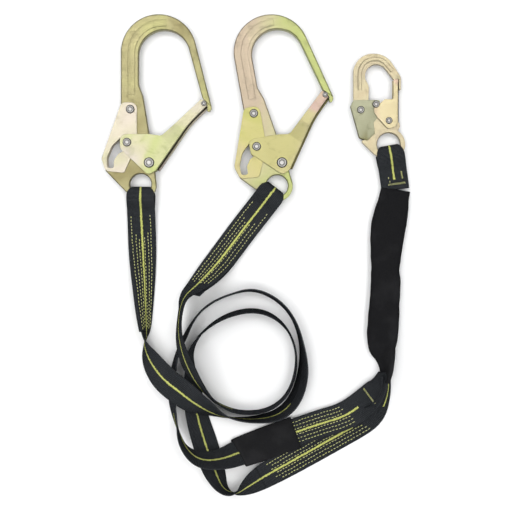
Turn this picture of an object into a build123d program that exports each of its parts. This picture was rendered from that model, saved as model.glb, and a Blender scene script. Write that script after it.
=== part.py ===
"""Twin-leg shock absorbing lanyard, lying flat as it would on a table.

Two large rebar hooks and one snap hook, each with a gate and a lock lever, hang on 35 mm webbing.
The legs make one loose loop and are sewn together below the shock pack, which holds folded tear webbing.
Frame: +X right, +Y towards the hooks, +Z up, floor at z = 0, millimetres.
"""
import math
import os

from build123d import *

# Webbing
WEB_WIDTH = 35.0
WEB_THICK = 2.4
SEWN_THICK = 2 * WEB_THICK
STATION_STEP = 11.0          # spacing of the cross-sections along a strap
MAX_BEND_SHARE = 0.45        # share of the shorter run that a bend may use

# Where the three hooks lie: eye centre x, y, height of the mid-plane, turn about Z
LEFT_HOOK = (-143.5, 86.2, 11.5, 0.0)
RIGHT_HOOK = (27.0, 84.7, 11.5, 10.2)
RIGHT_TURN = (27.0, 84.7, 11.5, -37.4)      # the strap pulls its hook's eye from the lower left
SNAP_TURN = (166.6, 136.5, 9.5, 10.0)
SNAP_HOOK = (166.6, 136.5, 9.5, 0.0)

# Rebar hook, in its own frame: origin at the eye centre, z = 0 at the mid-plane
HOOK_HALF = 6.0              # half the thickness of the forged body
NOSE_HALF = 3.9              # half the thickness of the tongue at the nose
EYE_HOLE_R = 13.5
EYE_RING_R = 19.5
GATE_PIVOT = (10.9, 27.0)
GATE_TAIL = (-16.6, 52.4)
GATE_NOSE = (79.0, 101.1)
LEVER_PIVOT = (-12.75, 93.75)
GATE_INNER = 8.2             # half the gap between the gate's side plates at the pivot
GATE_INNER_NOSE = 4.7        # the same gap where the channel narrows towards the nose
GATE_BEND = 34.0             # how far along the gate the channel starts to narrow
GATE_BEND_SLOPE = 7.0        # length of the narrowing per millimetre that it draws in
GATE_SHEET = 1.8
LEVER_INNER = 6.3
LEVER_SHEET = 1.6
GATE_RIVET_R = 3.0
LEVER_RIVET_R = 2.5
TAIL_PIN_R = 2.8
NOSE_PIN_R = 1.6

# Snap hook, in its own frame: origin at the eye centre
SNAP_HALF = 4.5
SNAP_EYE_HOLE_R = 14.5
SNAP_EYE_RING_R = 20.6
SNAP_GATE_PIVOT = (0.0, 29.5)
SNAP_LEVER_PIVOT = (-35.1, 43.1)
SNAP_LATCH = (-16.1, 49.9)
SNAP_GATE_INNER = 6.5
SNAP_GATE_SHEET = 1.5
SNAP_LEVER_INNER = 4.8
SNAP_LEVER_SHEET = 1.4
SNAP_RIVET_R = 2.2
SNAP_LATCH_R = 1.9

CROWN_INSIDE_R = 31.9
CROWN_OUTSIDE_R = 47.2
SNAP_CROWN_INSIDE_R = 14.3
FORGING_ROUND = 1.6
RUNNING_GAP = 0.05           # radial gap of a plate that turns on its rivet
HEAD_GAP = 0.1               # gap under a rivet head
SPRING_WIRE_R = 0.8
SNAP_WIRE_R = 0.6
SPRING_LEG = 9.0             # straight end of each spring
SNAP_SPRING_LEG = 5.5
GATE_COIL_R = 5.2
LEVER_COIL_R = 5.5
SNAP_COIL_R = 4.2

# Strap routes: centre-line x, y, z and the lean of the strap's width about its own run.
# A lean of 0 or 180 lies flat and 90 stands on edge.
LEFT_LEG = [
    (-138, -98, 17.3, -76), (-139, -112, 17.4, -100), (-132, -132, 22.6, -138), (-115, -153, 38.4, -166),
    (-94, -169, 42.9, -171), (-72, -186, 38.8, -150), (-49, -200, 23.0, -108), (-24, -207, 17.5, -92),
    (3, -208, 17.5, -82), (31, -202, 16.9, -70), (51, -182, 16.5, -66), (60, -150, 16.8, -70),
    (59, -114, 17.5, -84), (48, -80, 17.5, -86), (27, -56, 17.5, -84), (-3, -44, 17.5, -84),
    (-34, -51, 17.5, -90), (-62, -65, 17.5, -90), (-79, -85, 17.5, -92), (-89, -105, 17.4, -100),
    (-98, -125, 17.5, -97), (-103, -149, 17.4, -104), (-104, -172, 17.0, -110), (-103, -192, 17.6, -106),
    (-97, -217, 23.5, -98), (-88, -238, 41.5, -84), (-70, -254, 45.2, -66), (-43, -256, 30.8, -56),
    (-16, -248, 10.5, -25),
]
RIGHT_LEG = [
    (-74, -43, 31.0, 56), (-85, -52, 38.6, 70), (-91, -64, 44.6, 80), (-94, -91, 51.0, 78),
    (-91, -113, 52.0, 69), (-84, -134, 52.5, 60), (-73, -156, 48.5, 66), (-59, -177, 28.4, 80),
    (-41, -192, 17.5, 88), (-16, -199, 17.5, 90), (13, -197, 17.5, 90), (36, -182, 17.5, 90),
    (49, -157, 17.5, 90), (52, -128, 17.5, 90), (44, -99, 17.5, 90), (24, -78, 17.5, 86),
    (-3, -70, 17.5, 84), (-32, -75, 17.5, 84), (-58, -90, 17.5, 88), (-74, -107, 17.5, 92),
    (-82, -125, 17.5, 98), (-81, -150, 17.0, 110), (-79, -174, 14.5, 128), (-73, -207, 12.2, 140),
    (-62, -243, 9.3, 152), (-51, -274, 12.6, 138), (-42, -294, 17.2, 106), (-27, -301, 17.5, 82),
    (-11, -292, 13.2, 45), (8, -281, 8.1, 20),
]
LEFT_EYE = [
    (-143.5, 56, 11.5, 0), (-143, 40, 8.6, -3), (-142, 4, 8.2, -18), (-140, -39, 14.6, -46),
    (-139, -73, 16.6, -62), (-138, -98, 17.3, -76),
]
RIGHT_EYE = [
    (8.7, 60.7, 11.5, 0), (-11, 36, 8.0, 2), (-29, 12, 5.6, 5), (-46, -11, 8.4, 12),
    (-61, -29, 19.8, 34), (-74, -43, 31.0, 56),
]
SNAP_EYE = [(171.8, 106.8, 9.5, 0), (173.8, 94, 8.4, 0), (175.6, 80, 8.0, 0)]
UPPER_JUNCTION = [
    (-16, -248, 10.5, -25), (13, -238, 7.2, -10), (51, -224, 8.0, -5), (83, -213, 8.4, -4),
    (110, -205, 9.4, -5), (128, -193, 13.6, -14), (143, -178, 20.6, -34), (150, -168, 25.0, -50),
]
LOWER_JUNCTION = [
    (8, -281, 8.6, 20), (33, -268, 4.1, 8), (66, -250, 2.3, 2), (100, -231, 1.9, 1),
    (127, -216, 2.6, 4), (144, -205, 7.4, 18), (155, -191, 15.2, 48), (161, -176, 18.4, 60),
    (163, -162, 20.4, 67), (162.4, -150, 21.4, 66),
]

# Shock pack cover: x, y, z, outer width, outer thickness, lean
PACK = [
    (175, 79, 7.6, 38, 14, 0), (169, 40, 9.6, 46, 18, 0), (165, -11, 12.6, 40, 20, 6),
    (163, -58, 14.4, 40, 20, 10), (160, -102, 16.6, 41, 18, 20), (161, -128, 20.0, 39, 15, 44),
    (162, -148, 21.5, 39, 13, 64), (162, -160, 21.0, 38, 12, 70),
]
COVER_WALL = 1.2
PACK_GAP = 0.4
BACKUP_WIDTH = 22.0
BACKUP_THICK = 1.8
SLEEVE_WALL = 1.0
SLEEVE_GAP = 0.4


def outline(corners):
    """A closed face from corners (x, y, radius)."""
    points = [(x, y) for x, y, _ in corners]
    radii = [r for _, _, r in corners]
    return make_face(FilletPolyline(*points, radius=radii, close=True).edges())


def plate(face, low, high):
    return Pos(0, 0, low) * extrude(face, amount=high - low)


def disc(centre, radius, low, high):
    return plate(Pos(*centre) * Circle(radius), low, high)


def hole(centre, radius):
    """A drill long enough to pass through any hook."""
    return disc(centre, radius, -20, 20)


def both_sides(solid):
    """A plate and its mirror image below the mid-plane."""
    return solid + mirror(solid, about=Plane.XY)


def rivet(centre, shank, head, reach, head_height=1.4):
    """A straight shank with a low domed head on each side, reach from the mid-plane."""
    top = disc(centre, head, reach, reach + head_height)
    rim = top.edges().group_by(Axis.Z)[-1]
    top = fillet(rim, head_height * 0.8)
    return disc(centre, shank, -reach - 0.2, reach + 0.2) + both_sides(top)


def rounded_eye(body, radius, rounding):
    """Takes the sharp rim off the eye hole, where the webbing bears."""
    rims = [e for e in body.edges().filter_by(GeomType.CIRCLE) if abs(e.radius - radius) < 0.01]
    return fillet(rims, rounding)


def placed(solid, hook):
    x, y, z, turn = hook
    return Location((x, y, z), (0, 0, turn)) * solid


def save(name, shape):
    shape.label = name
    export_step(shape, os.path.join("parts", name + ".step"))


# ---------------------------------------------------------------- rebar hook

def on_crown_rim(edge):
    """True for the face edges of the spine, crown and arm, and false for the notch at the nose."""
    centre = edge.center()
    at_notch = centre.X > 75 and centre.Y < 104
    return abs(abs(centre.Z) - HOOK_HALF) < 1e-6 and centre.Y > 66 and not at_notch


def rebar_frame():
    """Forged body: crown, spine, web with a pocket for the gate's tail, and the ring for the webbing."""
    body = outline([
        (-43.8, 19.5, 1.5), (-43.8, 16.9, 1.0), (-14.0, -13.6, 0), (0, 0, 0), (19.4, 2, 0), (17.5, 19, 6),
        (18.5, 34, 10), (10.4, 64.5, 20), (3.2, 110, 14), (-2.4, 124.5, 12), (-2.4, 398.9, CROWN_INSIDE_R),
        (77.0, 108.3, 0), (88.6, 97.2, 0), (-24.6, 543.8, CROWN_OUTSIDE_R),
        (-24.6, 80, 4), (-9, 68, 5), (-9, 46, 7), (-22, 22, 3),
    ])
    body = plate(body + Circle(EYE_RING_R), -HOOK_HALF, HOOK_HALF)
    body = fillet(body.edges().filter_by(on_crown_rim), FORGING_ROUND)
    tongue = outline([
        (79.2, 109.0, 0), (88.1, 99.2, 0), (88.6, 95.2, 1.6), (86.2, 91.0, 1.6), (83.3, 91.4, 1),
        (83.6, 98.0, 1),
    ])
    body += plate(tongue, -NOSE_HALF, NOSE_HALF)
    body -= hole((0, 0), EYE_HOLE_R)
    body = rounded_eye(body, EYE_HOLE_R, 1.5)
    body -= hole(GATE_PIVOT, GATE_RIVET_R)
    body -= hole(LEVER_PIVOT, LEVER_RIVET_R)
    groove_path = FilletPolyline((-11.5, 112), (-11.5, 201.5), (32, 201.5), radius=38)
    body -= forged_groove(groove_path, HOOK_HALF, 4.6, 0.45)
    return body - lever_spring_pocket(LEVER_PIVOT, LEVER_COIL_R, HOOK_HALF, SPRING_WIRE_R)


def forged_groove(path, half, half_width, depth):
    """A shallow groove along a path in both faces of a forged body."""
    path = Pos(0, 0, half) * path
    section = Plane(path @ 0, z_dir=path % 0) * Ellipse(half_width, depth)
    return both_sides(sweep(section, path=path))


def lever_spring_pocket(centre, coil_r, half, wire_r):
    """Ring and slot in the upper face, for the lever's coil and its straight leg."""
    x, y = centre
    floor = half - 3 * wire_r
    play = 1.1 * wire_r
    post = disc(centre, coil_r - wire_r - play, floor, half)
    ring = disc(centre, coil_r + wire_r + play, floor, half + 1) - post
    slot = Pos(x - SPRING_LEG, y - coil_r, 0) * Rectangle(SPRING_LEG + 4, 2 * (wire_r + play / 2))
    return ring + plate(slot, floor, half + 1)


def rebar_gate():
    """Folded channel: two wide side plates on the pivot, drawn in to a narrow channel at the nose."""
    shape = outline([
        (-25.5, 62.5, 8), (12.5, 62.5, 25), (26.3, 60.4, 7), (76.3, 107.2, 2.5), (83.9, 99.3, 3.5),
        (60.4, 76.6, 60), (19.6, 17.4, 6), (9.6, 11.8, 6), (-25.2, 44.6, 7),
    ])
    along = Vector(GATE_NOSE[0] - GATE_PIVOT[0], GATE_NOSE[1] - GATE_PIVOT[1]).normalized()
    bend_end = GATE_BEND + GATE_BEND_SLOPE * (GATE_INNER - GATE_INNER_NOSE)
    outer, outer_nose = GATE_INNER + GATE_SHEET, GATE_INNER_NOSE + GATE_SHEET
    bent = outline([
        (-70, GATE_INNER, 0), (GATE_BEND, GATE_INNER, 3), (bend_end, GATE_INNER_NOSE, 3),
        (110, GATE_INNER_NOSE, 0), (110, outer_nose, 0), (bend_end, outer_nose, 3),
        (GATE_BEND, outer, 3), (-70, outer, 0),
    ])
    side = Plane(origin=(*GATE_PIVOT, 0), x_dir=along, z_dir=along.cross(Vector(0, 0, 1)))
    sheet = extrude(side * bent, amount=90, both=True)
    prism = plate(shape, -20, 20)
    flanges = both_sides(sheet & prism)
    heel, toe = Vector(26.3, 60.4), Vector(76.3, 107.2)
    edge = (toe - heel).normalized()
    normal = Vector(edge.Y, -edge.X)
    start = heel + edge * 27
    end = toe - edge * 3.2
    corners = [start, start + normal * GATE_SHEET, end + normal * GATE_SHEET, end]
    web = outline([(corner.X, corner.Y, 0) for corner in corners])
    web = plate(web, -GATE_INNER_NOSE - 1.0, GATE_INNER_NOSE + 1.0)
    gate = flanges + web
    gate -= hole(GATE_PIVOT, GATE_RIVET_R + RUNNING_GAP)
    gate -= hole(GATE_TAIL, TAIL_PIN_R)
    gate -= hole(GATE_NOSE, NOSE_PIN_R)
    return gate


def rebar_lever():
    """Folded lock lever, with the arc window that the gate's tail pin travels in."""
    shape = outline([
        (-22.5, 102.2, 6), (-4.4, 102.2, 8), (-4.4, 60, 10), (-12, 33, 3), (-20.4, 14.4, 3),
        (-43.6, 16.6, 6), (-48.6, 32, 8), (-25.4, 97.5, 4),
    ])
    window = outline([
        (-12.0, 57.5, 3), (-24.5, 58.4, 3), (-35.2, 48.4, 14), (-41.6, 33.4, 12), (-41.4, 21.0, 2.5),
        (-33.2, 20.0, 2.5), (-33.0, 30.0, 8), (-27.5, 38.2, 6), (-12.0, 46.6, 3),
    ])
    flanges = both_sides(plate(shape - window, LEVER_INNER, LEVER_INNER + LEVER_SHEET))
    web = outline([(-27.2, 92.4, 0), (-47.6, 34.6, 0), (-46.1, 34.1, 0), (-25.7, 91.9, 0)])
    lever = flanges + plate(web, -LEVER_INNER - 1.0, LEVER_INNER + 1.0)
    return lever - hole(LEVER_PIVOT, LEVER_RIVET_R + RUNNING_GAP)


def gate_spring(centre, coil_r, height, wire_r):
    """One open turn of wire round the gate's rivet, with a straight leg at each end."""
    x, y = centre
    coil = CenterArc((x, y, height), coil_r, -35, 325)
    start, end = coil @ 0, coil @ 1
    lead_in = Line(start - (coil % 0) * SPRING_LEG, start)
    lead_out = Line(end, end + (coil % 1) * SPRING_LEG)
    path = Wire([*lead_in.edges(), *coil.edges(), *lead_out.edges()])
    return sweep(Plane(origin=path @ 0, z_dir=path % 0) * Circle(wire_r), path=path)


def lever_spring(centre, coil_r, half, wire_r, leg_length):
    """One open turn in the body's pocket, with a straight leg out towards the lever's back."""
    x, y = centre
    coil = CenterArc((x, y, half - 1.5 * wire_r), coil_r, -90, 330)
    start = coil @ 0
    leg = Line(start - (coil % 0) * leg_length, start)
    path = Wire([*leg.edges(), *coil.edges()])
    return sweep(Plane(origin=path @ 0, z_dir=path % 0) * Circle(wire_r), path=path)


def write_rebar_hook(side, hook):
    gate_reach = GATE_INNER + GATE_SHEET + HEAD_GAP
    save(side + "_hook_frame", placed(rebar_frame(), hook))
    save(side + "_gate", placed(rebar_gate(), hook))
    save(side + "_lock_lever", placed(rebar_lever(), hook))
    save(side + "_gate_rivet", placed(rivet(GATE_PIVOT, GATE_RIVET_R, 5.75, gate_reach), hook))
    tail_pin = rivet(GATE_TAIL, TAIL_PIN_R, 4.75, gate_reach - HEAD_GAP, 1.3)
    save(side + "_gate_tail_pin", placed(tail_pin, hook))
    nose_pin = rivet(GATE_NOSE, NOSE_PIN_R, 3.0, GATE_INNER_NOSE + GATE_SHEET, 1.0)
    save(side + "_gate_nose_pin", placed(nose_pin, hook))
    lever_reach = LEVER_INNER + LEVER_SHEET + HEAD_GAP
    save(side + "_lever_rivet", placed(rivet(LEVER_PIVOT, LEVER_RIVET_R, 4.75, lever_reach), hook))
    gate_coil = gate_spring(GATE_PIVOT, GATE_COIL_R, HOOK_HALF + 1.1, SPRING_WIRE_R)
    save(side + "_gate_spring", placed(gate_coil, hook))
    lever_coil = lever_spring(LEVER_PIVOT, LEVER_COIL_R, HOOK_HALF, SPRING_WIRE_R, SPRING_LEG)
    save(side + "_lever_spring", placed(lever_coil, hook))


# ----------------------------------------------------------------- snap hook

def snap_frame():
    body = outline([
        (-33.6, 4.6, 1), (-33.0, 2.5, 1), (-17.2, -12.9, 0), (0, 0, 0), (20.4, 3.0, 0), (17.2, 9.8, 3),
        (11.6, 17.0, 2), (14.0, 22.5, 2), (13.6, 27.2, 1.5), (10.6, 28.6, 1), (4, 37.5, 5), (-10, 41.5, 5),
        (-24.6, 45.0, 6), (-25.1, 56, 12), (-24.6, 73.0, 14), (-29.4, 82, 8),
        (-29.4, 128.8, SNAP_CROWN_INSIDE_R), (5.9, 81.7, 1), (12.8, 81.7, 0.5), (12.8, 68.6, 0.6),
        (15.2, 68.6, 0.6),
        (15.2, 84.5, 7), (-3.5, 113.5, 27), (-44.1, 113.5, 24), (-44.1, 44, 4), (-27.0, 11.5, 2),
        (-27.0, 7.0, 1),
    ])
    body = plate(body + Circle(SNAP_EYE_RING_R), -SNAP_HALF, SNAP_HALF)
    body -= hole((0, 0), SNAP_EYE_HOLE_R)
    body = rounded_eye(body, SNAP_EYE_HOLE_R, 1.2)
    body -= hole(SNAP_GATE_PIVOT, SNAP_RIVET_R)
    body -= hole(SNAP_LEVER_PIVOT, SNAP_RIVET_R)
    body -= lever_spring_pocket(SNAP_LEVER_PIVOT, SNAP_COIL_R, SNAP_HALF, SNAP_WIRE_R)
    groove_path = FilletPolyline((-36.2, 68), (-36.2, 106.6), (-8.6, 106.6), (4.5, 92.0), radius=[18, 14])
    return body - forged_groove(groove_path, SNAP_HALF, 2.6, 0.6)


def snap_gate():
    shape = outline([
        (-18.6, 44.6, 2), (-5.4, 56.1, 1), (5.6, 56.1, 1), (5.6, 81.0, 0.6), (11.5, 81.0, 0.6),
        (11.5, 29.0, 2), (7.8, 21.4, 4), (-1.5, 19.6, 5), (-14.2, 33.2, 4), (-18.2, 39.0, 3),
    ])
    flanges = both_sides(plate(shape, SNAP_GATE_INNER, SNAP_GATE_INNER + SNAP_GATE_SHEET))
    web = outline([(10.0, 31.5, 0), (11.5, 31.5, 0), (11.5, 80.2, 0), (10.0, 80.2, 0)])
    web = plate(web, -SNAP_GATE_INNER - 1.0, SNAP_GATE_INNER + 1.0)
    return flanges + web - hole(SNAP_GATE_PIVOT, SNAP_RIVET_R + RUNNING_GAP)


def snap_lever():
    shape = outline([
        (-44.1, 55.3, 1.5), (-11.6, 55.3, 2), (-10.8, 46.5, 3), (-15.4, 31.5, 2), (-19.2, 27.0, 2),
        (-17.2, 13.6, 3), (-27.2, 4.4, 3), (-36.6, 8.6, 2), (-47.6, 48.2, 3),
    ])
    flanges = both_sides(plate(shape, SNAP_LEVER_INNER, SNAP_LEVER_INNER + SNAP_LEVER_SHEET))
    web = outline([(-46.6, 47.4, 0), (-36.4, 11.0, 0), (-35.0, 11.4, 0), (-45.2, 47.8, 0)])
    web = plate(web, -SNAP_LEVER_INNER - 1.0, SNAP_LEVER_INNER + 1.0)
    lever = flanges + web - hole(SNAP_LEVER_PIVOT, SNAP_RIVET_R + RUNNING_GAP)
    return lever - hole(SNAP_LATCH, SNAP_LATCH_R)


def write_snap_hook(hook):
    lever_reach = SNAP_LEVER_INNER + SNAP_LEVER_SHEET
    gate_reach = SNAP_GATE_INNER + SNAP_GATE_SHEET + HEAD_GAP
    save("snap_hook_frame", placed(snap_frame(), hook))
    save("snap_gate", placed(snap_gate(), hook))
    save("snap_lock_lever", placed(snap_lever(), hook))
    save("snap_gate_rivet", placed(rivet(SNAP_GATE_PIVOT, SNAP_RIVET_R, 3.7, gate_reach, 1.2), hook))
    lever_rivet = rivet(SNAP_LEVER_PIVOT, SNAP_RIVET_R, 4.1, lever_reach + HEAD_GAP, 1.2)
    save("snap_lever_rivet", placed(lever_rivet, hook))
    save("snap_latch_pin", placed(rivet(SNAP_LATCH, SNAP_LATCH_R, 3.9, gate_reach, 1.2), hook))
    gate_coil = gate_spring(SNAP_GATE_PIVOT, SNAP_COIL_R, SNAP_HALF + 1.0, SNAP_WIRE_R)
    save("snap_gate_spring", placed(gate_coil, hook))
    lever_coil = lever_spring(SNAP_LEVER_PIVOT, SNAP_COIL_R, SNAP_HALF, SNAP_WIRE_R, SNAP_SPRING_LEG)
    save("snap_lever_spring", placed(lever_coil, hook))


# ------------------------------------------------------------------- webbing

def bend_radii(points):
    """The largest radius each corner of a route has room for."""
    radii = []
    for before, here, after in zip(points, points[1:], points[2:]):
        run_in, run_out = here - before, after - here
        half_turn = math.radians(run_in.get_angle(run_out)) / 2
        radii.append(MAX_BEND_SHARE * min(run_in.length, run_out.length) / math.tan(half_turn))
    return radii


def lean_along(route, share):
    """The lean at a share of the route's length, straight-line between its points."""
    points = [Vector(*stop[:3]) for stop in route]
    runs = [(b - a).length for a, b in zip(points, points[1:])]
    left = share * sum(runs)
    for index, run in enumerate(runs):
        if left <= run or index == len(runs) - 1:
            step = min(left / run, 1.0)
            return route[index][3] * (1 - step) + route[index + 1][3] * step
        left -= run


def strap(route, width, thickness, name=None):
    """A flat strap: rectangular sections on a path of straight runs joined by tangent arcs."""
    points = [Vector(*stop[:3]) for stop in route]
    radii = bend_radii(points)
    path = FilletPolyline(*points, radius=radii)
    count = max(4, round(path.length / STATION_STEP))
    sections = []
    for index in range(count + 1):
        share = index / count
        run = path.tangent_at(share)
        level = Vector(0, 0, 1).cross(run).normalized()
        across = level.rotate(Axis((0, 0, 0), tuple(run)), lean_along(route, share))
        face = Plane(origin=path.position_at(share), x_dir=across, z_dir=run) * Rectangle(width, thickness)
        sections.append(face.face().outer_wire())
    solid = Solid.make_loft(sections, ruled=True)
    if name:
        ideal = width * thickness * path.length
        print(name, "length", round(path.length, 1), "volume", round(solid.volume), "of", round(ideal))
        print("  bend radii", [round(r) for r in radii])
    return solid


def bight(half, top, tip=-30.0):
    """The webbing's turn through a hook's eye: one ply over the ring's bar and one under it."""
    inner = half + 1.2
    outer = inner + WEB_THICK
    outside = outline([
        (top, outer, 6), (-20, outer, 10), (tip, WEB_THICK, 0),
        (tip, -WEB_THICK, 0), (-20, -outer, 10), (top, -outer, 6),
    ])
    inside = outline([
        (top - WEB_THICK, inner, 4), (-20.5, inner, 7), (tip + 3, 0, 0),
        (-20.5, -inner, 7), (top - WEB_THICK, -inner, 4),
    ])
    loop = extrude(Plane.YZ * (outside - inside), amount=WEB_WIDTH / 2, both=True)
    plan = outline([
        (-12, top + 2, 0), (-12, top - 4.5, 3), (-17.5, -13, 4), (-17.5, tip, 0),
        (17.5, tip, 0), (17.5, -13, 4), (12, top - 4.5, 3), (12, top + 2, 0),
    ])
    return loop & plate(plan, -30, 30)


def write_eye_strap(side, route, loop, hook):
    """The doubled, sewn end of a leg, with its turn through the hook's eye."""
    save(side + "_eye_strap", strap(route, WEB_WIDTH, SEWN_THICK) + placed(loop, hook))


def write_webbing():
    save("left_leg_webbing", strap(LEFT_LEG, WEB_WIDTH, WEB_THICK, "left_leg_webbing"))
    save("right_leg_webbing", strap(RIGHT_LEG, WEB_WIDTH, WEB_THICK, "right_leg_webbing"))
    write_eye_strap("left", LEFT_EYE, bight(HOOK_HALF, -2.5), LEFT_HOOK)
    write_eye_strap("right", RIGHT_EYE, bight(HOOK_HALF, -2.5), RIGHT_TURN)
    write_eye_strap("snap", SNAP_EYE, bight(SNAP_HALF, -1.0), SNAP_TURN)
    save("upper_junction_strap", strap(UPPER_JUNCTION, WEB_WIDTH, WEB_THICK))
    save("lower_junction_strap", strap(LOWER_JUNCTION, WEB_WIDTH, WEB_THICK))


def pack_loft(stops, section):
    """A loft through the pack's stops; section(width, thickness) draws each cross-section."""
    wires = []
    for index, (x, y, z, width, thickness, lean) in enumerate(stops):
        before, after = stops[max(index - 1, 0)], stops[min(index + 1, len(stops) - 1)]
        run = (Vector(*after[:3]) - Vector(*before[:3])).normalized()
        level = Vector(0, 0, 1).cross(run).normalized()
        across = level.rotate(Axis((0, 0, 0), tuple(run)), lean)
        face = Plane(origin=(x, y, z), x_dir=across, z_dir=run) * section(width, thickness)
        wires.append(face.face().outer_wire())
    return Solid.make_loft(wires, ruled=True)


def soft_tube(stops, inset_width, inset_thickness):
    """A flattened tube, drawn in from the cover's outside by the two insets."""
    def section(width, thickness):
        thick = thickness - 2 * inset_thickness
        return RectangleRounded(width - 2 * inset_width, thick, thick * 0.42)
    return pack_loft(stops, section)


def flat_tape(stops, width, thickness):
    return pack_loft(stops, lambda *size: Rectangle(width, thickness))


def write_pack():
    """Cover, the folded tear webbing that fills it, and the straight backup web through its middle."""
    save("absorber_cover", soft_tube(PACK, 0, 0) - soft_tube(PACK, COVER_WALL, COVER_WALL))
    folds = soft_tube(PACK[1:6], COVER_WALL + PACK_GAP + 2.0, COVER_WALL + PACK_GAP + 1.0)
    tunnel = flat_tape(PACK[1:6], BACKUP_WIDTH + 2 * PACK_GAP, BACKUP_THICK + 2 * PACK_GAP)
    save("tear_web_core", folds - tunnel)
    save("backup_web", flat_tape(PACK[1:6], BACKUP_WIDTH, BACKUP_THICK))


def label_sleeve():
    """Flat tube of cover fabric round the upper leg just before the stitching."""
    route = UPPER_JUNCTION[:3]
    width, thickness = WEB_WIDTH + 2 * SLEEVE_GAP, WEB_THICK + 2 * SLEEVE_GAP
    outer = strap(route, width + 2 * SLEEVE_WALL, thickness + 2 * SLEEVE_WALL)
    return outer - strap(route, width, thickness)


def main():
    os.makedirs("parts", exist_ok=True)
    write_rebar_hook("left", LEFT_HOOK)
    write_rebar_hook("right", RIGHT_HOOK)
    write_snap_hook(SNAP_HOOK)
    write_webbing()
    write_pack()
    save("label_sleeve", label_sleeve())


main()
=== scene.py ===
"""Looks of a twin-leg shock absorbing lanyard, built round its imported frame.

Metres, +Z up, floor at z = 0. Webbing is swept along splines; hooks keep their CAD shape and get plating.
"""
import math
import random

import bmesh
import bpy
import numpy as np
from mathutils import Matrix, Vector


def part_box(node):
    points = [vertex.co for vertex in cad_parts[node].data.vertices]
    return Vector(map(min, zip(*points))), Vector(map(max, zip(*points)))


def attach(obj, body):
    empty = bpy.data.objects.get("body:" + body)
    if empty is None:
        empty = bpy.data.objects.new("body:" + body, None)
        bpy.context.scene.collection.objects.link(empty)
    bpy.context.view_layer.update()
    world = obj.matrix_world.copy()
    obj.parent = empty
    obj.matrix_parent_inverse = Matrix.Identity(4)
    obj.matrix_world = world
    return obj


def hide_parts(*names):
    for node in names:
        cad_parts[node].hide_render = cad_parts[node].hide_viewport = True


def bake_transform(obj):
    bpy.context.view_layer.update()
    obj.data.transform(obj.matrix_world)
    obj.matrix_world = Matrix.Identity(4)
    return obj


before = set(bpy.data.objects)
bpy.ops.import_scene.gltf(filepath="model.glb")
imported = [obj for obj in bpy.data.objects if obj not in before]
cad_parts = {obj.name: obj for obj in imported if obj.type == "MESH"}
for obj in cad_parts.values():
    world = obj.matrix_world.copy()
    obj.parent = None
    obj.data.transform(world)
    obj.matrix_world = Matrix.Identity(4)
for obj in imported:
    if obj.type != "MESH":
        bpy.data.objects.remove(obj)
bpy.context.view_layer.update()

MM = 0.001
CAMERA_HEIGHT = 1.5
STRAP_HEIGHT = 0.015         # height at which the view's width is given
VIEW_WIDTH = 0.64
FLOOR_SIZE = 40.0
FLOOR_CLEAR = 0.15 * MM      # lowest point of a soft piece

WEB_WIDTH = 35 * MM
PLY = 2.2 * MM               # thickness of one ply of webbing
SEWN_RISE = 1.15 * MM        # each ply's middle above or below the middle of a doubled strap
PLY_FACE = PLY / 2 + 0.12 * MM
DOUBLE_FACE = SEWN_RISE + PLY_FACE
STRIPE_HALF = 1.25 * MM      # half the width of the woven centre stripe
STRIPE_RISE = 0.22 * MM
OFF_STRAP = 0.1              # a shift that takes the stripe off the strap
THREAD_R = 0.42 * MM
STITCH_PITCH = 4.1 * MM
STITCH_LENGTH = 2.5 * MM
STITCH_WANDER = 0.35 * MM
BIGHT_TIP = -30 * MM         # where the turn through the eye meets the doubled strap
BIGHT_CLEAR = 2.6 * MM       # the turn's middle above the hook's face

# Middle of each hook's eye, and the turns of its strap and of its hook about +Z, in degrees
EYE = {"left": (-0.1435, 0.0862, 0.0115), "right": (0.027, 0.0847, 0.0115), "snap": (0.1666, 0.1365, 0.0095)}
STRAP_TURN = {"left": 0.0, "right": -37.4, "snap": 10.0}
HOOK_TURN = {"left": 0.0, "right": 10.2, "snap": 0.0}

# Routes: x, y, z and lean of the strap's width from level, in degrees
LEFT_LEG = [
    (-0.138, -0.098, 0.0173, -76), (-0.139, -0.112, 0.0174, -100), (-0.132, -0.132, 0.0226, -138),
    (-0.115, -0.153, 0.0384, -166), (-0.094, -0.169, 0.0429, -171), (-0.072, -0.186, 0.0388, -150),
    (-0.049, -0.2, 0.023, -108), (-0.024, -0.207, 0.0175, -92), (0.003, -0.208, 0.0175, -82),
    (0.031, -0.202, 0.0169, -70), (0.051, -0.182, 0.0165, -66), (0.06, -0.15, 0.0168, -70),
    (0.059, -0.114, 0.0175, -84), (0.048, -0.08, 0.0175, -86), (0.027, -0.056, 0.0175, -84),
    (-0.003, -0.044, 0.0175, -84), (-0.034, -0.051, 0.0175, -90), (-0.062, -0.065, 0.0175, -90),
    (-0.079, -0.085, 0.0175, -92), (-0.089, -0.105, 0.0174, -100), (-0.098, -0.125, 0.0175, -97),
    (-0.103, -0.149, 0.0174, -104), (-0.104, -0.172, 0.017, -110), (-0.103, -0.192, 0.0176, -106),
    (-0.097, -0.217, 0.0235, -98), (-0.088, -0.238, 0.0415, -84), (-0.07, -0.254, 0.0452, -66),
    (-0.043, -0.256, 0.0308, -56), (-0.016, -0.248, 0.0105, -25),
]
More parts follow.
